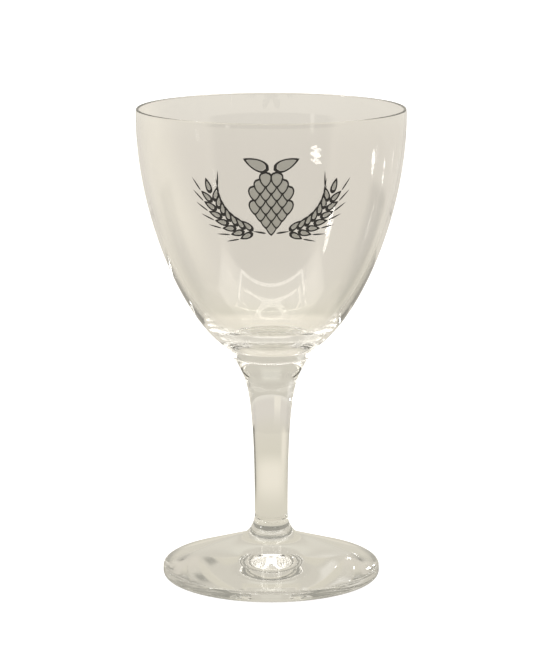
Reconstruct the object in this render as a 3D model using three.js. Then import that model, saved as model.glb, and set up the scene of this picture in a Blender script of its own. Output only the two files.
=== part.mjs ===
// A stemmed beer goblet: a spun foot, a drawn stem, a merese (the small collar under the bowl)
// and a thin blown bowl, fused one on another along a common axis.
// Millimetres, +Z up, with the origin at the centre of the ring that the goblet stands on.

import * as THREE from "three";

// Foot
const FOOT_RADIUS = 37.4;
const FOOT_EDGE = 3.7; // height of the edge, where the upper cone would meet it sharp
const FOOT_EDGE_ROUND = 1.3;
const FOOT_SLOPE = 18.8; // degrees that the upper face rises towards the stem
const FOOT_FILLET = 9; // between the upper face and the stem
const STANDING_RING = 1.8; // width of the flat ring under the edge
const KNEE_RADIUS = 11; // where the underside's cone turns into a shallow dome
const KNEE_HEIGHT = 3;
const DOME_RISE = 0.8; // knee to the middle of the dome

// Stem
const STEM_RADIUS = 5.7; // where it stands on the foot
const STEM_LENGTH = 55.2;
const STEM_TOP_RADIUS = 12.3; // where it flares out under the merese
const STEM_FLARE_DROP = 7.8; // how far down the flare keeps its slope
const STEM_FLARE_DRAW = 2.65; // how far in the flare draws over that drop
const STEM_TAPER = 0.94; // share of the stem that the slow taper pulls on

// Merese
const MERESE_RADIUS = 13.6; // also the bowl's base, which is fused flush with it
const MERESE_THICKNESS = 3;
const MERESE_ROUND = 1.1; // lower edge, proud of the stem

// Bowl
const BOWL_HEIGHT = 82.8; // seat to rim
const BOWL_RADIUS = 45.6; // outside, at the widest
const RIM_RADIUS = 45.5; // outside, at the lip
const RIM_DRAW = 2.4; // how far below the rim the bowl is widest
const BELLY = 0.44; // share of the flank that stays nearly upright under the widest point
const BASE_SPREAD = 0.47; // share of the flank's width that the base opens out over
const BASE_RISE = 0.095; // share of the flank's height that it climbs over that
const LIP_WALL = 1;
const BASE_WALL = 2.4; // wall where the floor's curve begins
const FLOOR_START = 0.76; // share of the flank where it begins
const FLOOR_THICKNESS = 4.4; // seat to the inside of the bowl, at the axis
const FLOOR_PULL = 0.8; // share of the drop to the floor that the wall's slope pulls on
const FLOOR_FLAT = 0.5; // share of the floor's width that is nearly flat

// Facets
const TURN_SEGMENTS = 48;
const ARC_STEP = 18; // degrees
const FLANK_STEPS = 16;
const WALL_STEPS = 12;
const FLOOR_STEPS = 6;
const LIP_STEPS = 3;
const TAPER_STEPS = 12;
const DOME_STEPS = 4;

// Heights of the seats, from the surface that the goblet stands on
const slope = THREE.MathUtils.degToRad(FOOT_SLOPE);
const FOOT_APEX = FOOT_EDGE + (FOOT_RADIUS - STEM_RADIUS) * Math.tan(slope);
const STEM_SEAT = FOOT_APEX + FOOT_FILLET * Math.tan((Math.PI / 2 - slope) / 2);
const MERESE_SEAT = STEM_SEAT + STEM_LENGTH;
const BOWL_SEAT = MERESE_SEAT + MERESE_THICKNESS;
const RIM = BOWL_SEAT + BOWL_HEIGHT;

// Profile points are radius and height.
const point = (radius, height) => new THREE.Vector2(radius, height);

// The arc that rounds a profile's corner and touches both of its sides.
function roundedCorner(before, corner, after, radius) {
  const towardsBefore = before.clone().sub(corner).normalize();
  const towardsAfter = after.clone().sub(corner).normalize();
  const half = Math.acos(towardsBefore.dot(towardsAfter)) / 2;
  const inwards = towardsBefore.clone().add(towardsAfter).normalize();
  const centre = corner.clone().addScaledVector(inwards, radius / Math.sin(half));
  const start = corner.clone().addScaledVector(towardsBefore, radius / Math.tan(half));
  const turn = Math.PI - 2 * half;
  const side = Math.sign(towardsAfter.cross(towardsBefore));
  const steps = Math.max(2, Math.round(THREE.MathUtils.radToDeg(turn) / ARC_STEP));
  return Array.from({ length: steps + 1 }, (_, i) =>
    start.clone().rotateAround(centre, (side * turn * i) / steps),
  );
}

// Points of a curve from one share of it to another, both ends included.
function curvePoints(curve, steps, from = 0, to = 1) {
  return Array.from({ length: steps + 1 }, (_, i) =>
    curve.getPoint(from + ((to - from) * i) / steps),
  );
}

function footProfile() {
  const ringInside = point(FOOT_RADIUS - FOOT_EDGE_ROUND - STANDING_RING, 0);
  const lowerEdge = point(FOOT_RADIUS, 0);
  const upperEdge = point(FOOT_RADIUS, FOOT_EDGE);
  const apex = point(STEM_RADIUS, FOOT_APEX);
  const stemSeat = point(STEM_RADIUS, STEM_SEAT);
  const domeTop = point(0, KNEE_HEIGHT + DOME_RISE);
  const dome = new THREE.QuadraticBezierCurve(
    domeTop,
    point(KNEE_RADIUS / 2, domeTop.y),
    point(KNEE_RADIUS, KNEE_HEIGHT),
  );
  return [
    ...curvePoints(dome, DOME_STEPS),
    ringInside,
    ...roundedCorner(ringInside, lowerEdge, upperEdge, FOOT_EDGE_ROUND),
    ...roundedCorner(lowerEdge, upperEdge, apex, FOOT_EDGE_ROUND),
    ...roundedCorner(upperEdge, apex, stemSeat, FOOT_FILLET),
    point(0, STEM_SEAT),
  ];
}

function stemProfile() {
  const taper = new THREE.CubicBezierCurve(
    point(STEM_RADIUS, STEM_SEAT),
    point(STEM_RADIUS, STEM_SEAT + STEM_TAPER * STEM_LENGTH),
    point(STEM_TOP_RADIUS - STEM_FLARE_DRAW, MERESE_SEAT - STEM_FLARE_DROP),
    point(STEM_TOP_RADIUS, MERESE_SEAT),
  );
  return [point(0, STEM_SEAT), ...curvePoints(taper, TAPER_STEPS), point(0, MERESE_SEAT)];
}

function mereseProfile() {
  const underAxis = point(0, MERESE_SEAT);
  const lowerEdge = point(MERESE_RADIUS, MERESE_SEAT);
  const upperEdge = point(MERESE_RADIUS, BOWL_SEAT);
  return [
    underAxis,
    ...roundedCorner(underAxis, lowerEdge, upperEdge, MERESE_ROUND),
    upperEdge,
    point(0, BOWL_SEAT),
  ];
}

function bowlProfile() {
  const seat = point(MERESE_RADIUS, BOWL_SEAT);
  const widest = point(BOWL_RADIUS, RIM - RIM_DRAW);
  const flankWidth = widest.x - seat.x;
  const flankHeight = widest.y - seat.y;
  const flank = new THREE.CubicBezierCurve(
    widest,
    point(widest.x, widest.y - BELLY * flankHeight),
    point(seat.x + BASE_SPREAD * flankWidth, seat.y + BASE_RISE * flankHeight),
    seat,
  );

  // The inside follows the flank at the wall's thickness, measured square to it.
  const insideAt = (share) => {
    const wall = THREE.MathUtils.lerp(LIP_WALL, BASE_WALL, (share / FLOOR_START) ** 2);
    const along = flank.getTangent(share);
    return flank.getPoint(share).addScaledVector(point(along.y, -along.x), wall);
  };
  const inside = Array.from({ length: WALL_STEPS + 1 }, (_, i) =>
    insideAt((FLOOR_START * i) / WALL_STEPS),
  );

  const wallEnd = inside.at(-1);
  const floorCentre = point(0, BOWL_SEAT + FLOOR_THICKNESS);
  const wallRun = wallEnd.clone().sub(inside.at(-2));
  const wallPull = (FLOOR_PULL * (floorCentre.y - wallEnd.y)) / wallRun.y;
  const floor = new THREE.CubicBezierCurve(
    wallEnd,
    wallEnd.clone().addScaledVector(wallRun, wallPull),
    point(FLOOR_FLAT * wallEnd.x, floorCentre.y),
    floorCentre,
  );

  const lip = new THREE.Path();
  const lipRound = LIP_WALL / 2;
  const lipHeight = RIM - lipRound;
  const lipCentre = RIM_RADIUS - lipRound;
  const drawHeight = (widest.y + lipHeight) / 2;
  lip.moveTo(widest.x, widest.y);
  lip.quadraticCurveTo(widest.x, drawHeight, RIM_RADIUS, lipHeight);
  lip.absarc(lipCentre, lipHeight, lipRound, 0, Math.PI);
  lip.quadraticCurveTo(inside[0].x, drawHeight, inside[0].x, inside[0].y);

  return [
    point(0, BOWL_SEAT),
    ...curvePoints(flank, FLANK_STEPS, 1, 0),
    ...lip.getPoints(LIP_STEPS).slice(1, -1),
    ...inside,
    ...curvePoints(floor, FLOOR_STEPS).slice(1),
  ];
}

// Clear soda-lime glass: thick pieces look a little darker and warmer than the thin bowl.
function glass(name, colour, opacity) {
  const material = new THREE.MeshStandardMaterial({ color: colour, roughness: 0.04, metalness: 0 });
  material.name = name;
  material.transparent = true;
  material.opacity = opacity;
  return material;
}

// A solid of revolution about the goblet's upright axis.
function turned(name, profile, material) {
  const geometry = new THREE.LatheGeometry(profile, TURN_SEGMENTS).rotateX(Math.PI / 2);
  const mesh = new THREE.Mesh(geometry, material);
  mesh.name = name;
  return mesh;
}

const goblet = new THREE.Group();
goblet.name = "goblet";
goblet.add(
  turned("foot", footProfile(), glass("foot_glass", 0xd9d4c3, 0.4)),
  turned("stem", stemProfile(), glass("stem_glass", 0xd6d1c2, 0.45)),
  turned("merese", mereseProfile(), glass("merese_glass", 0xdcd7c8, 0.45)),
  turned("bowl", bowlProfile(), glass("bowl_glass", 0xe6e1d5, 0.3)),
);

export default goblet;
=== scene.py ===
"""Looks of a stemmed beer goblet: fire-polished glass with a fired enamel print.

The CAD frame gives every piece its place and size. Each glass piece is turned from its own
profile, finer than the faceted solid that it stands for, and the print is laid on the bowl.
Lengths are metres, and a profile's points are radius and height.
"""

import logging
import math
from collections.abc import Sequence
from dataclasses import dataclass
from enum import Enum

import bpy
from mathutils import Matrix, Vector


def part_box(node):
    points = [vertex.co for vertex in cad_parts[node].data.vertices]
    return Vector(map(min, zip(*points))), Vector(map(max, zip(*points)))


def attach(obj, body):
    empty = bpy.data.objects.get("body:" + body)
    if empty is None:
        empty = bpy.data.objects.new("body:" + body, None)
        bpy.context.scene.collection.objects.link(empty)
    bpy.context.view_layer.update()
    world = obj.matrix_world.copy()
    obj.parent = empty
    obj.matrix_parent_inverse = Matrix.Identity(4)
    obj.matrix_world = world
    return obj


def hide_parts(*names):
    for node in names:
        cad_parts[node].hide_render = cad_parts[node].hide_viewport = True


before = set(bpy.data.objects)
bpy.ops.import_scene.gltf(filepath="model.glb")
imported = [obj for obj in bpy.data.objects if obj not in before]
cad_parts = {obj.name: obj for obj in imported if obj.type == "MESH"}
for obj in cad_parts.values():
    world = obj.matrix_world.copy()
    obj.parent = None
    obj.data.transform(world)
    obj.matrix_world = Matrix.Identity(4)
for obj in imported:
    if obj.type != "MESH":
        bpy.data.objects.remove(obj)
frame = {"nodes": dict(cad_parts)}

LOG = logging.getLogger("goblet")
MM = 0.001
DEGREE = 180.0 / math.pi
BODY = "root"

Colour = tuple[float, float, float]
Plate = tuple[list[tuple[float, float, float]], list[list[int]], list[float]]
Value = "Socket | float | int | bool | str | Colour | bpy.types.ID"


class Socket:
    """An output of a node, on which arithmetic adds Math nodes."""

    def __init__(self, graph: "Graph", source: bpy.types.NodeSocket) -> None:
        """Keeps the socket and the graph that it belongs to."""
        self.graph = graph
        self.source = source

    def __add__(self, other: "Socket | float") -> "Socket":
        """Returns the sum."""
        return self.graph.math("ADD", self, other)

    def __radd__(self, other: float) -> "Socket":
        """Returns the sum."""
        return self.graph.math("ADD", other, self)

    def __sub__(self, other: "Socket | float") -> "Socket":
        """Returns the difference."""
        return self.graph.math("SUBTRACT", self, other)

    def __rsub__(self, other: float) -> "Socket":
        """Returns the difference from a number."""
        return self.graph.math("SUBTRACT", other, self)

    def __mul__(self, other: "Socket | float") -> "Socket":
        """Returns the product."""
        return self.graph.math("MULTIPLY", self, other)

    def __rmul__(self, other: float) -> "Socket":
        """Returns the product."""
        return self.graph.math("MULTIPLY", other, self)

    def __truediv__(self, other: "Socket | float") -> "Socket":
        """Returns the quotient."""
        return self.graph.math("DIVIDE", self, other)

    def __rtruediv__(self, other: float) -> "Socket":
        """Returns the quotient of a number."""
        return self.graph.math("DIVIDE", other, self)

    def __mod__(self, other: "Socket | float") -> "Socket":
        """Returns the remainder."""
        return self.graph.math("MODULO", self, other)

    def __rmod__(self, other: float) -> "Socket":
        """Returns the remainder of a number."""
        return self.graph.math("MODULO", other, self)


class Step:
    """A node whose outputs are picked by name."""

    def __init__(self, graph: "Graph", node: bpy.types.Node) -> None:
        """Keeps the node and the graph that it belongs to."""
        self.graph = graph
        self.node = node

    def __getitem__(self, key: str | int) -> Socket:
        """Returns the output of that name or number."""
        return Socket(self.graph, self.graph.pick(self.node.outputs, key))


class Graph:
    """A node tree that is written as expressions."""

    def __init__(self, tree: bpy.types.NodeTree) -> None:
        """Starts on a tree, which may hold nodes already."""
        self.tree = tree

    @staticmethod
    def pick(sockets: bpy.types.bpy_prop_collection, key: str | int) -> bpy.types.NodeSocket:
        """Finds a socket.

        Args:
            sockets: a node's inputs or outputs.
            key: the socket's number, or its name.

        Returns:
            The socket, which is in use where several share its name.
        """
        if isinstance(key, int):
            return sockets[key]
        return next(socket for socket in sockets if socket.name == key and socket.enabled)

    def node(
        self,
        kind: str,
        settings: dict[str, object] | None = None,
        sockets: dict[str | int, Value] | None = None,
    ) -> Step:
        """Adds a node.

        Args:
            kind: the node's type.
            settings: properties of the node, which are set first.
            sockets: values or links of its inputs, by name or number.

        Returns:
            The node, ready for its outputs to be picked.
        """
        made = self.tree.nodes.new(kind)
        for name, value in (settings or {}).items():
            setattr(made, name, value)
        for key, value in (sockets or {}).items():
            self.feed(self.pick(made.inputs, key), value)
        return Step(self, made)

    def feed(self, target: bpy.types.NodeSocket, value: Value) -> None:
        """Links an output to an input, or sets the input's value.

        Args:
            target: the input.
            value: the output that is linked, or the value that is set.
        """
        if isinstance(value, Socket):
            self.tree.links.new(value.source, target)
        elif isinstance(value, tuple) and target.type == "RGBA":
            target.default_value = (*value, 1.0)
        else:
            target.default_value = value

    def math(self, operation: str, *operands: "Socket | float") -> Socket:
        """Adds a Math node and returns its result."""
        sockets = dict(enumerate(operands))
        return self.node("ShaderNodeMath", {"operation": operation}, sockets)[0]

    def vector(self, x: "Socket | float", y: "Socket | float", z: "Socket | float") -> Socket:
        """Returns a vector made of three values."""
        return self.node("ShaderNodeCombineXYZ", None, {"X": x, "Y": y, "Z": z})[0]

    def split(self, vector: Socket) -> tuple[Socket, Socket, Socket]:
        """Returns the three values of a vector."""
        parts = self.node("ShaderNodeSeparateXYZ", None, {"Vector": vector})
        return parts["X"], parts["Y"], parts["Z"]

    def smooth(self, value: Socket, low: float, high: float) -> Socket:
        """Makes a soft step.

        Args:
            value: what the step follows.
            low: where it leaves 0.
            high: where it reaches 1.

        Returns:
            The step, from 0 to 1.
        """
        settings = {"interpolation_type": "SMOOTHSTEP"}
        sockets = {"Value": value, "From Min": low, "From Max": high}
        return self.node("ShaderNodeMapRange", settings, sockets)["Result"]

    def tinted(self, factor: Socket, low: "Socket | Colour", high: "Socket | Colour") -> Socket:
        """Mixes two colours.

        Args:
            factor: how much of the second colour shows, from 0 to 1.
            low: the first colour.
            high: the second colour.

        Returns:
            The mixed colour.
        """
        settings = {"data_type": "RGBA"}
        sockets = {"Factor": factor, "A": low, "B": high}
        return self.node("ShaderNodeMix", settings, sockets)["Result"]


class Paint(Graph):
    """The node graph of a new material."""

    def __init__(self, name: str) -> None:
        """Starts an empty material of that name."""
        self.material = bpy.data.materials.new(name)
        self.material.use_nodes = True
        super().__init__(self.material.node_tree)
        self.tree.nodes.clear()

    def coat(self, surface: Socket) -> bpy.types.Material:
        """Ends the graph with that surface and returns the material."""
        self.node("ShaderNodeOutputMaterial", None, {"Surface": surface})
        return self.material


class Recipe(Graph):
    """A geometry node tree with named inputs, which turns an object into a plain mesh."""

    def __init__(self, name: str) -> None:
        """Starts a tree that takes and gives a geometry."""
        super().__init__(bpy.data.node_groups.new(name, "GeometryNodeTree"))
        interface = self.tree.interface
        interface.new_socket("Geometry", in_out="INPUT", socket_type="NodeSocketGeometry")
        interface.new_socket("Geometry", in_out="OUTPUT", socket_type="NodeSocketGeometry")
        self.given = self.node("NodeGroupInput")

    def ask(self, name: str, kind: str) -> Socket:
        """Adds a named input of that socket kind and returns it."""
        self.tree.interface.new_socket(name, in_out="INPUT", socket_type=f"NodeSocket{kind}")
        return self.given[name]

    def sample(self, source: Socket, value: Socket, index: Socket, kind: str) -> Socket:
        """Returns a value read from a numbered point of another geometry.

        Args:
            source: the geometry that is read.
            value: what is read from it.
            index: the point's number.
            kind: the value's data type.

        Returns:
            The value at that point.
        """
        settings = {"data_type": kind, "domain": "POINT"}
        sockets = {"Geometry": source, "Value": value, "Index": index}
        return self.node("GeometryNodeSampleIndex", settings, sockets)["Value"]

    def attribute(self, name: str, kind: str) -> Socket:
        """Returns a named attribute of that data type."""
        settings = {"data_type": kind}
        return self.node("GeometryNodeInputNamedAttribute", settings, {"Name": name})["Attribute"]

    def close(self, geometry: Socket) -> None:
        """Ends the tree with that geometry."""
        self.node("NodeGroupOutput", None, {"Geometry": geometry})

    def make(self, start: bpy.types.Object, inputs: dict[str, object]) -> bpy.types.Object:
        """Runs the tree on an object and leaves a plain mesh.

        Args:
            start: the object whose mesh is the tree's geometry.
            inputs: a value for each named input.

        Returns:
            The same object, with the result as its mesh and no modifier.
        """
        modifier = start.modifiers.new(self.tree.name, "NODES")
        modifier.node_group = self.tree
        items = self.tree.interface.items_tree
        identifiers = {item.name: item.identifier for item in items if item.in_out == "INPUT"}
        for name, value in inputs.items():
            modifier[identifiers[name]] = value
        depsgraph = bpy.context.evaluated_depsgraph_get()
        evaluated = start.evaluated_get(depsgraph)
        mesh = bpy.data.meshes.new_from_object(evaluated, depsgraph=depsgraph)
        start.modifiers.remove(modifier)
        while mesh.materials and mesh.materials[0] is None:
            mesh.materials.pop(index=0)
        start.data = mesh
        mesh.name = start.name
        return start


def new_object(
    name: str,
    points: Sequence[Sequence[float]],
    edges: Sequence[tuple[int, int]],
    faces: Sequence[Sequence[int]],
) -> bpy.types.Object:
    """Adds an object at the origin with a mesh of those points, edges and faces.

    Args:
        name: the name of the object and of its mesh.
        points: the mesh's points.
        edges: pairs of points, where the mesh has no faces.
        faces: lists of points, anticlockwise from outside.

    Returns:
        The object, linked to the scene.
    """
    mesh = bpy.data.meshes.new(name)
    mesh.from_pydata(points, edges, faces)
    made = bpy.data.objects.new(name, mesh)
    bpy.context.scene.collection.objects.link(made)
    return made


def bezier(ends: Sequence[Vector], steps: int) -> list[Vector]:
    """Returns evenly shared points of a Bezier curve of any degree, both ends included.

    Args:
        ends: the curve's control points.
        steps: how many stretches the points divide it into.

    Returns:
        The points, one more than there are stretches.
    """

    def at(share: float) -> Vector:
        """Finds a point of the curve.

        Args:
            share: how far along the curve it lies, from 0 to 1.

        Returns:
            The point.
        """
        points = list(ends)
        while len(points) > 1:
            points = [a.lerp(b, share) for a, b in zip(points, points[1:])]
        return points[0]

    return [at(i / steps) for i in range(steps + 1)]


def rounded(before: Vector, corner: Vector, after: Vector, radius: float, steps: int) -> list[Vector]:
    """Returns the arc that rounds a profile's corner and touches both of its sides.

    Args:
        before: the point before the corner.
        corner: the sharp corner.
        after: the point after it.
        radius: the arc's radius.
        steps: how many stretches the arc is divided into.

    Returns:
        The arc's points, both ends included.
    """
    back = (before - corner).normalized()
    on = (after - corner).normalized()
    half = back.angle(on) / 2
    centre = corner + (back + on).normalized() * radius / math.sin(half)
    start = corner + back * radius / math.tan(half) - centre
    turn = math.copysign(math.pi - 2 * half, on.x * back.y - on.y * back.x)
    angles = (turn * i / steps for i in range(steps + 1))
    return [
        centre
        + Vector(
            (
                start.x * math.cos(angle) - start.y * math.sin(angle),
                start.x * math.sin(angle) + start.y * math.cos(angle),
            )
        )
        for angle in angles
    ]


@dataclass(frozen=True)
class GlassFinish:
    """Clear soda-lime glass, fire-polished, with the faint waves that blowing leaves."""

    name: str
    tint: Colour
    streak: Colour
    wave_scale: float
    wave_depth: float
    wave_stretch: tuple[float, float, float] = (1.0, 1.0, 0.25)
    smear_scale: float = 55.0
    smear_edge: tuple[float, float] = (0.52, 0.8)
    smear_rough: float = 0.03
    ior: float = 1.52

    def material(self) -> bpy.types.Material:
        """Makes the glass.

        Returns:
            Its material.
        """
        graph = Paint(self.name)
        place = graph.node("ShaderNodeTexCoord")["Object"]
        drawn = graph.node("ShaderNodeMapping", None, {"Vector": place, "Scale": self.wave_stretch})
        waves = graph.node(
            "ShaderNodeTexNoise", None, {"Vector": drawn[0], "Scale": self.wave_scale, "Detail": 1.0}
        )["Fac"]
        bump = graph.node(
            "ShaderNodeBump", None, {"Strength": 1.0, "Distance": self.wave_depth, "Height": waves}
        )["Normal"]
        smears = graph.node(
            "ShaderNodeTexNoise", None, {"Vector": place, "Scale": self.smear_scale, "Detail": 4.0}
        )["Fac"]
        polish = graph.smooth(smears, *self.smear_edge) * self.smear_rough
        surface = graph.node(
            "ShaderNodeBsdfPrincipled",
            None,
            {
                "Base Color": graph.tinted(waves, self.tint, self.streak),
                "Roughness": polish,
                "IOR": self.ior,
                "Transmission Weight": 1.0,
                "Normal": bump,
            },
        )
        return graph.coat(surface[0])


@dataclass(frozen=True)
class SeamFinish:
    """Where two gathers of glass are fused, so that nothing shows between them."""

    name: str = "fused_seam"

    def material(self) -> bpy.types.Material:
        """Makes a surface that lets everything through unbent.

        Returns:
            Its material.
        """
        graph = Paint(self.name)
        surface = graph.node("ShaderNodeBsdfPrincipled", None, {"Alpha": 0.0})
        return graph.coat(surface[0])


@dataclass(frozen=True)
class EnamelFinish:
    """Fired ceramic enamel: half matt, with the faint mottle of a screen print."""

    name: str
    colour: Colour
    mottle: Colour
    mottle_scale: float = 900.0
    rough: float = 0.4
    rough_spread: float = 0.15
    ior: float = 1.5

    def material(self) -> bpy.types.Material:
        """Makes the enamel.

        Returns:
            Its material.
        """
        graph = Paint(self.name)
        place = graph.node("ShaderNodeTexCoord")["Object"]
        grain = graph.node(
            "ShaderNodeTexNoise", None, {"Vector": place, "Scale": self.mottle_scale, "Detail": 3.0}
        )["Fac"]
        surface = graph.node(
            "ShaderNodeBsdfPrincipled",
            None,
            {
                "Base Color": graph.tinted(grain, self.colour, self.mottle),
                "Roughness": self.rough + grain * self.rough_spread,
                "IOR": self.ior,
            },
        )
        return graph.coat(surface[0])


class Face(Enum):
    """What a stretch of a profile becomes when it is turned."""

    OUTSIDE = False
    SEAM = True


class TurningLathe:
    """Turns profiles into closed solids of revolution with a geometry node tree."""

    sharp_edge: float = math.radians(6)
    same_point: float = 1e-6
    weld: float = 1e-7

    def __init__(self) -> None:
        """Builds the tree."""
        recipe = Recipe("turned_glass")
        segments = recipe.ask("Turn segments", "Int")
        glass = recipe.ask("Glass", "Material")
        seam = recipe.ask("Seam", "Material")
        sharp = recipe.ask("Sharp edge", "Float")
        profile = recipe.given["Geometry"]
        rows = recipe.node(
            "GeometryNodeAttributeDomainSize", {"component": "MESH"}, {"Geometry": profile}
        )["Point Count"]
        grid = recipe.node(
            "GeometryNodeMeshGrid", None, {"Vertices X": segments + 1, "Vertices Y": rows}
        )["Mesh"]
        index = recipe.node("GeometryNodeInputIndex")["Index"]
        position = recipe.node("GeometryNodeInputPosition")["Position"]
        row = index % rows
        turn = recipe.math("FLOOR", (index + 0.5) / rows) / segments * math.tau
        radius, _, height = recipe.split(recipe.sample(profile, position, row, "FLOAT_VECTOR"))
        across = radius * recipe.math("COSINE", turn)
        along = radius * recipe.math("SINE", turn)
        turned = recipe.node(
            "GeometryNodeSetPosition",
            None,
            {"Geometry": grid, "Position": recipe.vector(across, along, height)},
        )["Geometry"]
        flag = recipe.attribute("seam", "BOOLEAN")
        seamed = recipe.sample(profile, flag, index % (rows - 1), "BOOLEAN")
        dressed = recipe.node("GeometryNodeSetMaterial", None, {"Geometry": turned, "Material": glass})
        dressed = recipe.node(
            "GeometryNodeSetMaterial",
            None,
            {"Geometry": dressed["Geometry"], "Selection": seamed, "Material": seam},
        )
        closed = recipe.node(
            "GeometryNodeMergeByDistance",
            None,
            {"Geometry": dressed["Geometry"], "Distance": self.weld},
        )["Geometry"]
        smooth = recipe.node("GeometryNodeSetShadeSmooth", {"domain": "FACE"}, {"Geometry": closed})
        angle = recipe.node("GeometryNodeInputMeshEdgeAngle")["Unsigned Angle"]
        creased = recipe.node(
            "GeometryNodeSetShadeSmooth",
            {"domain": "EDGE"},
            {
                "Geometry": smooth["Geometry"],
                "Selection": recipe.math("GREATER_THAN", angle, sharp),
                "Shade Smooth": False,
            },
        )
        real = recipe.node("GeometryNodeRealizeInstances", None, {"Geometry": creased["Geometry"]})
        recipe.close(real["Geometry"])
        self.recipe = recipe

    def turn(
        self,
        name: str,
        stretches: Sequence[tuple[Face, Sequence[Vector]]],
        glass: bpy.types.Material,
        seam: bpy.types.Material,
        segments: int,
    ) -> bpy.types.Object:
        """Turns a profile about the upright axis.

        Args:
            name: the piece's name.
            stretches: the profile from the axis round to the axis, with what each stretch becomes.
            glass: the material of its outside.
            seam: the material of its fused seams.
            segments: how many facets a full turn has.

        Returns:
            The finished piece.
        """
        points: list[Vector] = []
        seams: list[bool] = []
        for face, stretch in stretches:
            for point in stretch:
                if points and (point - points[-1]).length < self.same_point:
                    continue
                points.append(point)
                seams.append(face.value)
        # A stretch's flag belongs to the edge that ends at its point, so it moves one point back.
        flags = seams[1:] + [False]
        edges = [(i, i + 1) for i in range(len(points) - 1)]
        start = new_object(name, [(p.x, 0.0, p.y) for p in points], edges, [])
        start.data.attributes.new("seam", "BOOLEAN", "POINT").data.foreach_set("value", flags)
        return self.recipe.make(
            start,
            {"Turn segments": segments, "Glass": glass, "Seam": seam, "Sharp edge": self.sharp_edge},
        )


@dataclass
class TurnedPiece:
    """A glass piece that is turned about the goblet's axis and stands for one CAD node."""

    node: str
    slot: str
    finish: GlassFinish
    segments: int = 192

    def stretches(self) -> list[tuple[Face, list[Vector]]]:
        """Returns the profile, from the axis round to the axis."""
        raise NotImplementedError

    def build(self, lathe: TurningLathe, seam: bpy.types.Material) -> bpy.types.Object:
        """Turns the piece and puts it in the CAD node's place.

        Args:
            lathe: what turns the profile.
            seam: the material of the fused seams.

        Returns:
            The finished piece.
        """
        piece = lathe.turn(
            f"{self.node}_glass", self.stretches(), self.finish.material(), seam, self.segments
        )
        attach(piece, BODY)
        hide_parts(self.node)
        return piece


@dataclass
class Foot(TurnedPiece):
    """The foot: a cone that sweeps up into the stem, with a hollowed underside."""

    edge: float = 3.7 * MM
    edge_round: float = 1.3 * MM
    fillet: float = 9 * MM
    neck_radius: float = 5.7 * MM
    ring: float = 1.8 * MM
    knee_radius: float = 11 * MM
    knee_height: float = 3 * MM
    dome_rise: float = 0.8 * MM
    slope: float = math.radians(18.8)
    cone_share: float = 0.3
    steps: int = 24
    fillet_steps: int = 32

    def stretches(self) -> list[tuple[Face, list[Vector]]]:
        """Draws the profile.

        Returns:
            The underside, edge, cone and fillet, and the seam with the stem.
        """
        _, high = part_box(self.node)
        radius = high.x
        inner = Vector((radius - self.edge_round - self.ring, 0.0))
        lower = Vector((radius, 0.0))
        upper = Vector((radius, self.edge))
        rise = (radius - self.neck_radius) * math.tan(self.slope)
        apex = Vector((self.neck_radius, self.edge + rise))
        seat = Vector((self.neck_radius, high.z))
        knee = Vector((self.knee_radius, self.knee_height))
        crown = Vector((0.0, self.knee_height + self.dome_rise))
        outside = bezier([crown, Vector((knee.x / 2, crown.y)), knee], self.steps)
        outside += bezier([knee, inner], self.steps)
        outside += rounded(inner, lower, upper, self.edge_round, self.steps)
        outside += rounded(lower, upper, apex, self.edge_round, self.steps)
        outside += bezier([outside[-1], apex + (upper - apex) * self.cone_share], self.steps)
        outside += rounded(upper, apex, seat, self.fillet, self.fillet_steps)
        outside.append(seat)
        return [(Face.OUTSIDE, outside), (Face.SEAM, [Vector((0.0, high.z))])]


@dataclass
class Stem(TurnedPiece):
    """The stem: a slow taper that flares out under the collar."""

    radius: float = 5.7 * MM
    flare_drop: float = 7.8 * MM
    flare_draw: float = 2.65 * MM
    taper: float = 0.94
    steps: int = 96

    def stretches(self) -> list[tuple[Face, list[Vector]]]:
        """Draws the profile.

        Returns:
            The seam with the foot, the taper, and the seam with the collar.
        """
        low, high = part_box(self.node)
        taper = [
            Vector((self.radius, low.z)),
            Vector((self.radius, low.z + self.taper * (high.z - low.z))),
            Vector((high.x - self.flare_draw, high.z - self.flare_drop)),
            Vector((high.x, high.z)),
        ]
        return [
            (Face.SEAM, [Vector((0.0, low.z)), taper[0]]),
            (Face.OUTSIDE, bezier(taper, self.steps)),
            (Face.SEAM, [Vector((0.0, high.z))]),
        ]


@dataclass
class Merese(TurnedPiece):
    """The collar between the bowl and the stem."""

    edge_round: float = 1.1 * MM
    stem_radius: float = 12.3 * MM
    steps: int = 16

    def stretches(self) -> list[tuple[Face, list[Vector]]]:
        """Draws the profile.

        Returns:
            The seam with the stem, the rounded edge, and the seam with the bowl.
        """
        low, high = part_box(self.node)
        axis = Vector((0.0, low.z))
        lower = Vector((high.x, low.z))
        upper = Vector((high.x, high.z))
        return [
            (Face.SEAM, [axis, Vector((self.stem_radius, low.z))]),
            (Face.OUTSIDE, rounded(axis, lower, upper, self.edge_round, self.steps)),
            (Face.OUTSIDE, [upper]),
            (Face.SEAM, [Vector((0.0, high.z))]),
        ]


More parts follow.
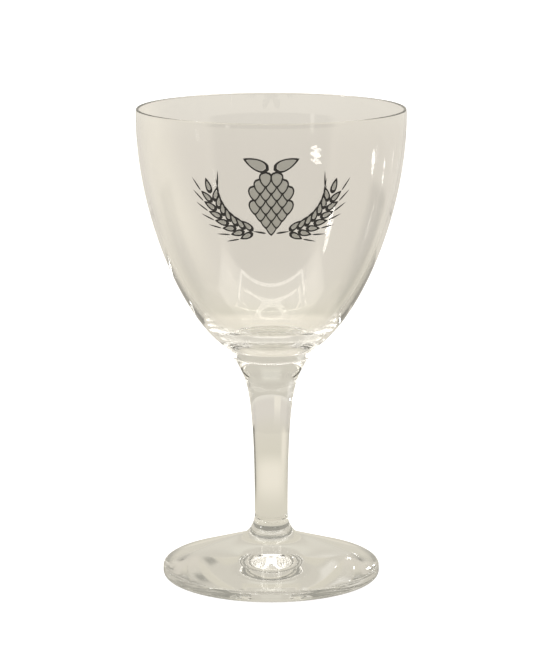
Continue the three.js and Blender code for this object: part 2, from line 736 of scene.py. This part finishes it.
@dataclass
class Bowl(TurnedPiece):
    """The bowl: an egg-shaped blown shell whose wall thickens towards its floor."""

    base_radius: float = 13.6 * MM
    rim_radius: float = 45.5 * MM
    rim_draw: float = 2.4 * MM
    belly: float = 0.44
    base_spread: float = 0.47
    base_rise: float = 0.095
    lip_wall: float = 1.0 * MM
    base_wall: float = 2.4 * MM
    floor_start: float = 0.76
    floor_thickness: float = 4.4 * MM
    floor_pull: float = 0.8
    floor_flat: float = 0.5
    segments: int = 256
    flank_steps: int = 120
    floor_steps: int = 48
    lip_steps: int = 10
    crown_steps: int = 40

    def stretches(self) -> list[tuple[Face, list[Vector]]]:
        """Draws the profile.

        Returns:
            The seam with the collar, the flank, the lip, and the inside to the axis.
        """
        low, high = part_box(self.node)
        seat = Vector((self.base_radius, low.z))
        widest = Vector((high.x, high.z - self.rim_draw))
        span = widest - seat
        flank = [
            widest,
            widest - Vector((0.0, self.belly * span.y)),
            seat + Vector((self.base_spread * span.x, self.base_rise * span.y)),
            seat,
        ]
        outside = bezier(flank, self.flank_steps)
        steps = round(self.flank_steps * self.floor_start)
        inside = []
        for i in range(steps + 1):
            before = outside[max(i - 1, 0)]
            after = outside[i + 1]
            along = (after - before).normalized() if i else Vector((0.0, -1.0))
            wall = self.lip_wall + (self.base_wall - self.lip_wall) * (i / steps) ** 2
            inside.append(outside[i] + Vector((along.y, -along.x)) * wall)
        centre = Vector((0.0, low.z + self.floor_thickness))
        wall_end = inside[-1]
        run = inside[-1] - inside[-2]
        pull = run * self.floor_pull * (centre.y - wall_end.y) / run.y
        floor = [wall_end, wall_end + pull, Vector((self.floor_flat * wall_end.x, centre.y)), centre]
        return [
            (Face.SEAM, [Vector((0.0, low.z)), seat]),
            (Face.OUTSIDE, outside[::-1]),
            (Face.OUTSIDE, self.lip(widest, inside[0], high.z)),
            (Face.OUTSIDE, inside),
            (Face.OUTSIDE, bezier(floor, self.floor_steps)),
        ]

    def lip(self, outer: Vector, inner: Vector, rim: float) -> list[Vector]:
        """Returns the drawn-in lip with its fire-polished round.

        Args:
            outer: the widest point outside.
            inner: the widest point inside.
            rim: the rim's height.

        Returns:
            The lip's points, from outside to inside.
        """
        polish = self.lip_wall / 2
        top = rim - polish
        middle = (outer.y + top) / 2
        centre = Vector((self.rim_radius - polish, top))
        edge = Vector((self.rim_radius, top))
        back = Vector((self.rim_radius - self.lip_wall, top))
        angles = (math.pi * i / self.crown_steps for i in range(self.crown_steps + 1))
        crown = [centre + polish * Vector((math.cos(a), math.sin(a))) for a in angles]
        return [
            *bezier([outer, Vector((outer.x, middle)), edge], self.lip_steps),
            *crown,
            *bezier([back, Vector((inner.x, middle)), inner], self.lip_steps),
        ]


@dataclass(frozen=True)
class Blade:
    """One pointed leaf shape of the print: its root, lean from upright, size and layer."""

    across: float
    up: float
    lean: float
    length: float
    width: float
    layer: float = 0.0


class BladePart(Enum):
    """What is made of a blade: its filled middle, the line round it, or a solid stroke."""

    FILL = 1.15
    OUTLINE = 1.0
    STROKE = 0.0


class BladeStamp:
    """The unit blade, one long and one wide, as a closed plate that the print repeats."""

    rows: int = 12
    columns: int = 4
    fullness: float = 1.245
    root_round: float = 0.5
    tip_draw: float = 0.9

    def half_width(self, share: float) -> float:
        """Returns half the blade's width at a share of its length: round below, pointed above."""
        return self.fullness * share**self.root_round * (1.0 - share) ** self.tip_draw

    def cut(self, part: BladePart) -> bpy.types.Object:
        """Cuts the unit plate.

        Args:
            part: what the plate is for.

        Returns:
            The plate, with how far each of its points is drawn in.
        """
        points, faces, drawn_in = self.ring() if part is BladePart.OUTLINE else self.plate(part)
        stamp = new_object(f"stamp_{part.name.lower()}", points, [], faces)
        stamp.data.attributes.new("drawn_in", "FLOAT", "POINT").data.foreach_set("value", drawn_in)
        return stamp

    def plate(self, part: BladePart) -> Plate:
        """Draws a filled blade.

        Args:
            part: what the plate is for.

        Returns:
            Its points, its faces and how far each point is drawn in.
        """
        points: list[tuple[float, float, float]] = []
        grid: list[list[list[int]]] = []
        for depth in (0.0, 1.0):
            layer = []
            for row in range(self.rows + 1):
                share = row / self.rows
                half = self.half_width(share)
                tip = row in (0, self.rows)
                count = 1 if tip else self.columns + 1
                first = len(points)
                for column in range(count):
                    aside = 0.0 if tip else half * (2 * column / self.columns - 1)
                    points.append((aside, share, depth))
                layer.append([first + min(c, count - 1) for c in range(self.columns + 1)])
            grid.append(layer)
        low, high = grid
        faces = []
        for row in range(self.rows):
            for column in range(self.columns):
                cell = [(row, column), (row, column + 1), (row + 1, column + 1), (row + 1, column)]
                faces.append([high[r][c] for r, c in cell])
                faces.append([low[r][c] for r, c in reversed(cell)])
            last = self.columns
            faces.append([low[row][0], high[row][0], high[row + 1][0], low[row + 1][0]])
            faces.append([low[row][last], low[row + 1][last], high[row + 1][last], high[row][last]])
        faces = [list(dict.fromkeys(face)) for face in faces]
        return points, faces, [part.value] * len(points)

    def ring(self) -> Plate:
        """Draws the line round a blade.

        Returns:
            Its points, its faces and how far each point is drawn in.
        """
        up = [(self.half_width(i / self.rows), i / self.rows) for i in range(self.rows + 1)]
        contour = up + [(-x, y) for x, y in up[-2:0:-1]]
        points = []
        drawn_in = []
        for x, y in contour:
            for inner, depth in ((0.0, 0.0), (0.0, 1.0), (1.0, 1.0), (1.0, 0.0)):
                points.append((x, y, depth))
                drawn_in.append(inner)
        faces = []
        count = len(contour)
        for i in range(count):
            here = 4 * i
            there = 4 * ((i + 1) % count)
            for side in range(4):
                turn = (side + 1) % 4
                faces.append([here + side, there + side, there + turn, here + turn])
        return points, faces, drawn_in


class PrintPress:
    """Repeats a blade on marked points and wraps it onto the bowl with a geometry node tree."""

    def __init__(self) -> None:
        """Builds the tree."""
        recipe = Recipe("enamel_print")
        stamp = recipe.ask("Stamp", "Object")
        bowl = recipe.ask("Bowl", "Object")
        radius = recipe.ask("Bowl radius", "Float")
        middle = recipe.ask("Middle height", "Float")
        line = recipe.ask("Line width", "Float")
        proud = recipe.ask("Proud", "Float")
        sunk = recipe.ask("Sunk", "Float")
        overlap = recipe.ask("Layer step", "Float")
        enamel = recipe.ask("Enamel", "Material")
        marks = self.keep(recipe, recipe.given["Geometry"], "root")
        unit = recipe.node("GeometryNodeObjectInfo", None, {"Object": stamp})["Geometry"]
        unit = self.keep(recipe, unit, "unit")
        placed = recipe.node("GeometryNodeInstanceOnPoints", None, {"Points": marks, "Instance": unit})
        real = recipe.node("GeometryNodeRealizeInstances", None, {"Geometry": placed["Instances"]})
        aside, along, depth = recipe.split(recipe.attribute("unit", "FLOAT_VECTOR"))
        root_x, root_y, _ = recipe.split(recipe.attribute("root", "FLOAT_VECTOR"))
        lean = recipe.attribute("lean", "FLOAT")
        length = recipe.attribute("length", "FLOAT")
        width = recipe.attribute("width", "FLOAT")
        inset = recipe.attribute("drawn_in", "FLOAT") * line * 2.0
        x = aside * (width - inset)
        y = (along - 0.5) * length * (1.0 - inset / width) + length * 0.5
        cosine = recipe.math("COSINE", lean)
        sine = recipe.math("SINE", lean)
        turn = (root_x + x * cosine + y * sine) / radius - math.pi / 2
        height = middle + root_y - x * sine + y * cosine
        out_x = recipe.math("COSINE", turn)
        out_y = recipe.math("SINE", turn)
        target = recipe.node("GeometryNodeObjectInfo", None, {"Object": bowl})["Geometry"]
        hit = recipe.node(
            "GeometryNodeRaycast",
            None,
            {
                "Target Geometry": target,
                "Source Position": recipe.vector(out_x * radius * 2.0, out_y * radius * 2.0, height),
                "Ray Direction": recipe.vector(out_x * -1.0, out_y * -1.0, 0.0),
                "Ray Length": radius * 2.0,
            },
        )
        lift = depth * (proud + sunk + recipe.attribute("layer", "FLOAT") * overlap) - sunk
        raised = recipe.node(
            "ShaderNodeVectorMath", {"operation": "SCALE"}, {0: hit["Hit Normal"], "Scale": lift}
        )
        place = recipe.node(
            "ShaderNodeVectorMath", {"operation": "ADD"}, {0: hit["Hit Position"], 1: raised[0]}
        )
        wrapped = recipe.node(
            "GeometryNodeSetPosition", None, {"Geometry": real["Geometry"], "Position": place[0]}
        )
        dressed = recipe.node(
            "GeometryNodeSetMaterial", None, {"Geometry": wrapped["Geometry"], "Material": enamel}
        )
        recipe.close(dressed["Geometry"])
        self.recipe = recipe

    @staticmethod
    def keep(recipe: Recipe, geometry: Socket, name: str) -> Socket:
        """Keeps the places of a geometry's points for later.

        Args:
            recipe: the tree that this is part of.
            geometry: the geometry.
            name: the attribute that keeps the places.

        Returns:
            The geometry with that attribute.
        """
        position = recipe.node("GeometryNodeInputPosition")["Position"]
        settings = {"data_type": "FLOAT_VECTOR", "domain": "POINT"}
        sockets = {"Geometry": geometry, "Name": name, "Value": position}
        return recipe.node("GeometryNodeStoreNamedAttribute", settings, sockets)["Geometry"]

    def press(
        self,
        name: str,
        part: BladePart,
        blades: Sequence[Blade],
        inputs: dict[str, object],
    ) -> bpy.types.Object:
        """Prints a set of blades.

        Args:
            name: the piece's name.
            part: what is made of each blade.
            blades: where the blades go on the flat print.
            inputs: the tree's other inputs.

        Returns:
            The finished piece.
        """
        stamp = BladeStamp().cut(part)
        start = new_object(name, [(blade.across, blade.up, 0.0) for blade in blades], [], [])
        for field in ("lean", "length", "width", "layer"):
            values = [getattr(blade, field) for blade in blades]
            start.data.attributes.new(field, "FLOAT", "POINT").data.foreach_set("value", values)
        piece = self.recipe.make(start, {"Stamp": stamp, **inputs})
        bpy.data.objects.remove(stamp)
        return piece


@dataclass
class HopAndBarleyPrint:
    """The print on the bowl's front: a hop cone between two barley ears, grey with black lines."""

    middle_height: float = 137.2 * MM
    bowl_radius: float = 44 * MM
    line: float = 0.5 * MM
    proud: float = 0.04 * MM
    sunk: float = 0.08 * MM
    layer_step: float = 0.015 * MM
    scale_rows: tuple[int, ...] = (2, 3, 4, 3, 4, 3, 2, 1)
    scale_pitch: tuple[float, float] = (3.6 * MM, 2.3 * MM)
    scale_size: tuple[float, float] = (5.6 * MM, 4.2 * MM)
    hop_top: float = 9.4 * MM
    grain_pairs: int = 7
    grain_pitch: float = 2.9 * MM
    grain_size: tuple[float, float] = (5.4 * MM, 2.3 * MM)
    grain_splay: float = math.radians(32)
    ear_foot: tuple[float, float] = (6.2 * MM, -11.0 * MM)
    ear_heading: tuple[float, float] = (math.radians(82), math.radians(16))
    awn_size: tuple[float, float] = (5.0 * MM, 0.45 * MM)
    awn_gap: float = 0.2 * MM
    awn_splay: float = 0.6
    grain_gap: float = 0.35 * MM
    stalk_root: tuple[float, float] = (4.4 * MM, 0.4 * MM)
    stalk_size: tuple[float, float] = (4.6 * MM, 0.6 * MM)
    leaf_root: tuple[float, float] = (0.7 * MM, 0.4 * MM)
    leaf_size: tuple[float, float] = (9.0 * MM, 4.0 * MM)
    leaf_lean: float = math.radians(66)
    grey: EnamelFinish = EnamelFinish("grey_enamel", (0.36, 0.35, 0.32), (0.42, 0.41, 0.37))
    black: EnamelFinish = EnamelFinish("black_enamel", (0.012, 0.011, 0.010), (0.022, 0.020, 0.018))

    def hop(self) -> list[Blade]:
        """Draws the cone.

        Returns:
            Its scales, row by row from the top, and the two leaves over them.
        """
        pitch_x, pitch_y = self.scale_pitch
        length, width = self.scale_size
        blades = []
        for row, count in enumerate(self.scale_rows):
            for place in range(count):
                across = (place - (count - 1) / 2) * pitch_x
                over = len(self.scale_rows) - row
                blades.append(Blade(across, self.hop_top - row * pitch_y, math.pi, length, width, over))
        root_x, root_y = self.leaf_root
        for side in (-1, 1):
            lean = side * self.leaf_lean
            blades.append(Blade(side * root_x, self.hop_top + root_y, lean, *self.leaf_size))
        return blades

    def ears(self) -> tuple[list[Blade], list[Blade]]:
        """Draws the two ears.

        Returns:
            Their grains, and their stalks and awns.
        """
        grains = []
        strokes = []
        first, last = self.ear_heading
        stalk_x, stalk_y = self.stalk_root
        awn_start = self.grain_size[0] + self.awn_gap
        for side in (-1, 1):
            across, up = self.ear_foot
            foot = side * (across - stalk_x)
            strokes.append(Blade(foot, up - stalk_y, side * first, *self.stalk_size))
            for pair in range(self.grain_pairs):
                heading = first + (last - first) * pair / (self.grain_pairs - 1)
                for splay in (-self.grain_splay, self.grain_splay):
                    lean = heading + splay
                    gap = math.copysign(self.grain_gap, splay)
                    root = Vector((math.cos(heading), -math.sin(heading))) * gap
                    start = Vector((across, up)) + root
                    tip = start + Vector((math.sin(lean), math.cos(lean))) * awn_start
                    awn_lean = side * (heading + splay * self.awn_splay)
                    grains.append(Blade(side * start.x, start.y, side * lean, *self.grain_size))
                    strokes.append(Blade(side * tip.x, tip.y, awn_lean, *self.awn_size))
                across += self.grain_pitch * math.sin(heading)
                up += self.grain_pitch * math.cos(heading)
            grains.append(Blade(side * across, up, side * last, *self.grain_size))
        return grains, strokes

    def build(self, bowl: bpy.types.Object) -> list[bpy.types.Object]:
        """Prints the ornament on the bowl.

        Args:
            bowl: the finished bowl.

        Returns:
            The grey fill, the black outlines and the black strokes.
        """
        grains, strokes = self.ears()
        outlined = self.hop() + grains
        grey = self.grey.material()
        black = self.black.material()
        press = PrintPress()
        inputs = {
            "Bowl": bowl,
            "Bowl radius": self.bowl_radius,
            "Middle height": self.middle_height,
            "Line width": self.line,
            "Proud": self.proud,
            "Sunk": self.sunk,
            "Layer step": self.layer_step,
        }
        pieces = []
        for name, part, blades, enamel, slot in (
            ("print_fill", BladePart.FILL, outlined, grey, "print_grey"),
            ("print_outline", BladePart.OUTLINE, outlined, black, "print_black"),
            ("print_strokes", BladePart.STROKE, strokes, black, "print_black"),
        ):
            piece = press.press(name, part, blades, {**inputs, "Enamel": enamel})
            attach(piece, BODY)
            pieces.append(piece)
        return pieces


class PanelShape(Enum):
    """The outline of a bright or dark panel in the room."""

    BOX = "box"
    DIAMOND = "diamond"


@dataclass(frozen=True)
class Panel:
    """A soft-edged patch of the room or of the table, by where it lies seen from the goblet.

    Across is degrees to the right of the camera. Up is degrees above the horizon, or millimetres
    away from the goblet's axis for a patch of the table. Soft is the width of its edges, and fade
    that of the upper and lower ones, where they differ.
    """

    across: float
    up: float
    half_width: float
    half_height: float
    colour: Colour
    soft: float = 2.0
    shape: PanelShape = PanelShape.BOX
    fade: float | None = None

    def mask(self, graph: Graph, across: Socket, up: Socket) -> Socket:
        """Returns 1 on the panel and 0 away from it.

        Args:
            graph: the node graph that the mask is made in.
            across: the bearing of what is shaded.
            up: its height, or its distance on the table.

        Returns:
            The mask.
        """
        turn = graph.math("WRAP", across - self.across, 180.0, -180.0)
        aside = graph.math("ABSOLUTE", turn)
        above = graph.math("ABSOLUTE", up - self.up)
        if self.shape is PanelShape.DIAMOND:
            reach = aside / self.half_width + above / self.half_height
            return 1.0 - graph.smooth(reach, 1.0, 1.0 + self.soft / self.half_width)
        inside_x = 1.0 - graph.smooth(aside, self.half_width, self.half_width + self.soft)
        fade = self.soft if self.fade is None else self.fade
        inside_y = 1.0 - graph.smooth(above, self.half_height, self.half_height + fade)
        return inside_x * inside_y


@dataclass(frozen=True)
class CeilingLight:
    """A level oblong light overhead, by its edges on a ceiling one metre above the goblet."""

    left: float
    right: float
    near: float
    far: float
    frame: float
    edge_colour: Colour
    colour: Colour

    def lay(self, graph: Graph, under: Socket, x: Socket, y: Socket) -> Socket:
        """Lays the light over the room.

        Args:
            graph: the world's node graph.
            under: the room's colour.
            x: how far right the ray meets the ceiling.
            y: how far towards the camera it meets it.

        Returns:
            The room's colour with the light.
        """
        aside = graph.math("ABSOLUTE", x - (self.left + self.right) / 2)
        along = graph.math("ABSOLUTE", y - (self.near + self.far) / 2)
        half_x = (self.right - self.left) / 2
        half_y = (self.near - self.far) / 2
        outer = graph.math("MAXIMUM", aside - half_x, along - half_y)
        whole = 1.0 - graph.smooth(outer, 0.0, self.frame / 2)
        inner = 1.0 - graph.smooth(outer, -self.frame * 1.5, -self.frame)
        lit = graph.tinted(whole, under, self.edge_colour)
        return graph.tinted(inner, lit, self.colour)


@dataclass
class Studio:
    """The camera at the photograph's angle, a pale floor and soft light."""

    distance: float = 0.9095
    height: float = 0.268
    tilt: float = 0.196
    focal_px: float = 2715.24
    frame_px: tuple[int, int] = (560, 650)
    axis_px: float = 271.2
    sensor: float = 36.0
    floor_radius: float = 4.0
    floor_drop: float = -0.2 * MM
    floor_corners: int = 64
    paper: Colour = (0.5, 0.5, 0.5)
    paper_glow: float = 0.8
    white: Colour = (1.0, 1.0, 1.0)
    bounces: int = 500
    # The table seen in the glass: painted lit tones that glow rather than take light, darker near the
    # goblet and paler far off.
    table_near: Colour = (0.69, 0.655, 0.555)
    table_far: Colour = (0.735, 0.695, 0.63)
    table_end: Colour = (0.80, 0.765, 0.69)
    far_from: tuple[float, float] = (180.0, 520.0)
    end_from: tuple[float, float] = (900.0, 1700.0)
    wall: Colour = (0.95, 0.90, 0.79)
    ceiling: Colour = (0.60, 0.57, 0.51)
    ceiling_from: tuple[float, float] = (15.0, 60.0)
    horizon: float = 0.01
    even_light: Colour = (1.0, 0.99, 0.97)
    # Patches of the glowing table seen in the glass: painted light where paler, painted shade where
    # darker.
    flags: tuple[Panel, ...] = (
        Panel(180.0, 150.0, 10.0, 10.0, (0.86, 0.81, 0.70), soft=60.0),
        # Painted contact shadow: a dark ring on the table all round the foot.
        Panel(0.0, 39.0, 180.0, 3.0, (0.34, 0.33, 0.29), soft=4.0),
        Panel(-168.0, 1450.0, 5.0, 750.0, (0.87, 0.825, 0.73), soft=3.0, fade=420.0),
        Panel(112.0, 270.0, 8.0, 130.0, (0.10, 0.10, 0.09), soft=12.0, fade=60.0),
        Panel(-108.0, 270.0, 5.0, 130.0, (0.35, 0.34, 0.31), soft=10.0, fade=60.0),
        Panel(-143.0, 250.0, 6.0, 40.0, (0.84, 0.79, 0.68), soft=10.0, fade=80.0),
    )
    panels: tuple[Panel, ...] = (
        Panel(90.0, 14.0, 24.0, 10.0, (0.70, 0.66, 0.58), soft=14.0),
        Panel(-90.0, 14.0, 24.0, 10.0, (0.70, 0.66, 0.58), soft=14.0),
        Panel(0.0, 12.0, 50.0, 30.0, (0.12, 0.115, 0.105), soft=12.0),
        Panel(180.0, 12.0, 60.0, 30.0, (0.64, 0.61, 0.535), soft=20.0),
        Panel(-136.0, 8.0, 6.0, 6.0, (0.80, 0.77, 0.70), soft=8.0),
        Panel(180.0, 21.0, 8.0, 2.0, (0.74, 0.715, 0.63), soft=10.0),
        Panel(126.0, 17.0, 1.0, 2.0, (0.34, 0.33, 0.29), soft=9.0),
        Panel(-42.0, 8.1, 6.0, 0.85, (13.0, 13.0, 12.8), 0.4, PanelShape.DIAMOND),
        Panel(-42.4, 9.9, 6.0, 0.85, (13.0, 13.0, 12.8), 0.4, PanelShape.DIAMOND),
        Panel(-37.0, 0.0, 1.2, 2.5, (1.3, 1.28, 1.2), soft=1.0),
        Panel(-69.5, 23.0, 1.8, 3.6, (13.0, 13.0, 12.8), soft=0.7),
        Panel(-109.0, 2.4, 1.6, 0.9, (13.0, 13.0, 12.8), soft=0.4),
        Panel(-130.0, 0.0, 1.2, 0.3, (10.0, 10.0, 10.0), soft=0.2),
    )
    overhead: tuple[CeilingLight, ...] = (
        CeilingLight(-1.4, 1.4, 0.60, -0.30, 0.30, (2.2, 2.12, 1.95), (2.2, 2.12, 1.95)),
        CeilingLight(-0.83, 0.80, 0.68, -0.20, 0.035, (5.2, 5.05, 4.8), (1.9, 1.84, 1.7)),
    )

    def camera(self) -> None:
        """Sets the camera, whose shift puts the goblet's axis on the photograph's column."""
        data = bpy.data.cameras.new("camera")
        data.sensor_fit = "VERTICAL"
        data.sensor_height = self.sensor
        data.lens = self.sensor * self.focal_px / self.frame_px[1]
        data.shift_x = (self.frame_px[0] / 2 - self.axis_px) / self.frame_px[1]
        data.clip_start = 0.01
        camera = bpy.data.objects.new("camera", data)
        camera.location = (0.0, -self.distance, self.height)
        camera.rotation_euler = (math.pi / 2 - self.tilt, 0.0, 0.0)
        bpy.context.scene.collection.objects.link(camera)
        bpy.context.scene.camera = camera

    def floor(self) -> None:
        """Adds the floor: white paper to the camera; in the glass, a warm table that glows with painted
        light, with painted light and shade patches and a painted contact shadow round the foot.
        """
        corners = range(self.floor_corners)
        around = [math.tau * i / self.floor_corners for i in corners]
        reach = self.floor_radius
        points = [(reach * math.cos(a), reach * math.sin(a), self.floor_drop) for a in around]
        floor = new_object("floor", points, [], [list(corners)])
        graph = Paint("floor_paper")
        seen = graph.node("ShaderNodeLightPath")["Is Camera Ray"]
        x, y, _ = graph.split(graph.node("ShaderNodeTexCoord")["Object"])
        bearing = graph.math("ARCTAN2", x, y * -1.0) * DEGREE
        away = graph.math("SQRT", x * x + y * y) / MM
        colour = graph.tinted(graph.smooth(away, *self.far_from), self.table_near, self.table_far)
        colour = graph.tinted(graph.smooth(away, *self.end_from), colour, self.table_end)
        # Painted light and shade patches, and the painted contact shadow, laid on the table.
        for flag in self.flags:
            colour = graph.tinted(flag.mask(graph, bearing, away), colour, flag.colour)
        paper = graph.node("ShaderNodeBsdfDiffuse", None, {"Color": self.paper})
        glow = graph.node(
            "ShaderNodeEmission", None, {"Color": self.white, "Strength": self.paper_glow}
        )
        white = graph.node("ShaderNodeAddShader", None, {0: paper[0], 1: glow[0]})
        # The table in the glass is an emission of its painted light and shade, lit by no lamp.
        painted_table_glow = graph.node("ShaderNodeEmission", None, {"Color": colour, "Strength": 1.0})
        mixed = graph.node("ShaderNodeMixShader", None, {0: seen, 1: painted_table_glow[0], 2: white[0]})
        floor.data.materials.append(graph.coat(mixed[0]))

    def room(self) -> None:
        """Sets the world: white to the camera, a soft room in the glass, even light on matt things."""
        world = bpy.data.worlds.new("room")
        bpy.context.scene.world = world
        world.use_nodes = True
        world.node_tree.nodes.clear()
        graph = Graph(world.node_tree)
        path = graph.node("ShaderNodeLightPath")
        x, y, z = graph.split(graph.node("ShaderNodeTexCoord")["Generated"])
        bearing = graph.math("ARCTAN2", x, y * -1.0) * DEGREE
        height = graph.math("ARCSINE", z) * DEGREE
        colour = graph.tinted(graph.smooth(height, *self.ceiling_from), self.wall, self.ceiling)
        for panel in self.panels:
            mask = panel.mask(graph, bearing, height)
            colour = graph.tinted(mask, colour, panel.colour)
        level = graph.math("MAXIMUM", z, self.horizon)
        for light in self.overhead:
            colour = light.lay(graph, colour, x / level, y / level * -1.0)
        room, even, white = (
            graph.node("ShaderNodeBackground", None, {"Color": light, "Strength": 1.0})[0]
            for light in (colour, self.even_light, self.white)
        )
        matt = graph.math("GREATER_THAN", path["Diffuse Depth"], 0.5)
        lit = graph.node("ShaderNodeMixShader", None, {0: matt, 1: room, 2: even})
        seen = path["Is Camera Ray"]
        mixed = graph.node("ShaderNodeMixShader", None, {0: seen, 1: lit[0], 2: white})
        graph.node("ShaderNodeOutputWorld", None, {"Surface": mixed[0]})

    def build(self) -> None:
        """Sets up the whole studio."""
        self.camera()
        self.floor()
        self.room()
        bpy.context.scene.view_settings.view_transform = "Standard"
        cycles = bpy.context.scene.cycles
        cycles.max_bounces = self.bounces
        cycles.glossy_bounces = self.bounces
        cycles.transmission_bounces = self.bounces


def report(piece: bpy.types.Object) -> None:
    """Logs a finished piece's name and size."""
    LOG.info("%s: %d faces", piece.name, len(piece.data.polygons))


def main() -> None:
    """Builds the goblet piece by piece, then the studio round it."""
    logging.basicConfig(level=logging.INFO, format="%(name)s: %(message)s")
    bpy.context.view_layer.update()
    lathe = TurningLathe()
    seam = SeamFinish().material()
    thick = {"tint": (0.97, 0.965, 0.945), "streak": (0.985, 0.98, 0.965), "wave_scale": 60}
    thin = {"tint": (0.975, 0.97, 0.955), "streak": (0.99, 0.985, 0.975), "wave_scale": 45}
    pieces = [
        Foot("foot", "foot_glass", GlassFinish("spun_glass", **thick, wave_depth=2e-5)),
        Stem("stem", "stem_glass", GlassFinish("drawn_glass", **thick, wave_depth=2e-5)),
        Merese("merese", "merese_glass", GlassFinish("collar_glass", **thick, wave_depth=1e-5)),
        Bowl("bowl", "bowl_glass", GlassFinish("blown_glass", **thin, wave_depth=2e-5)),
    ]
    glass = {piece.node: piece.build(lathe, seam) for piece in pieces}
    enamel = HopAndBarleyPrint().build(glass["bowl"])
    for piece in (*glass.values(), *enamel):
        report(piece)
    Studio().build()


if __name__ == "__main__":
    main()
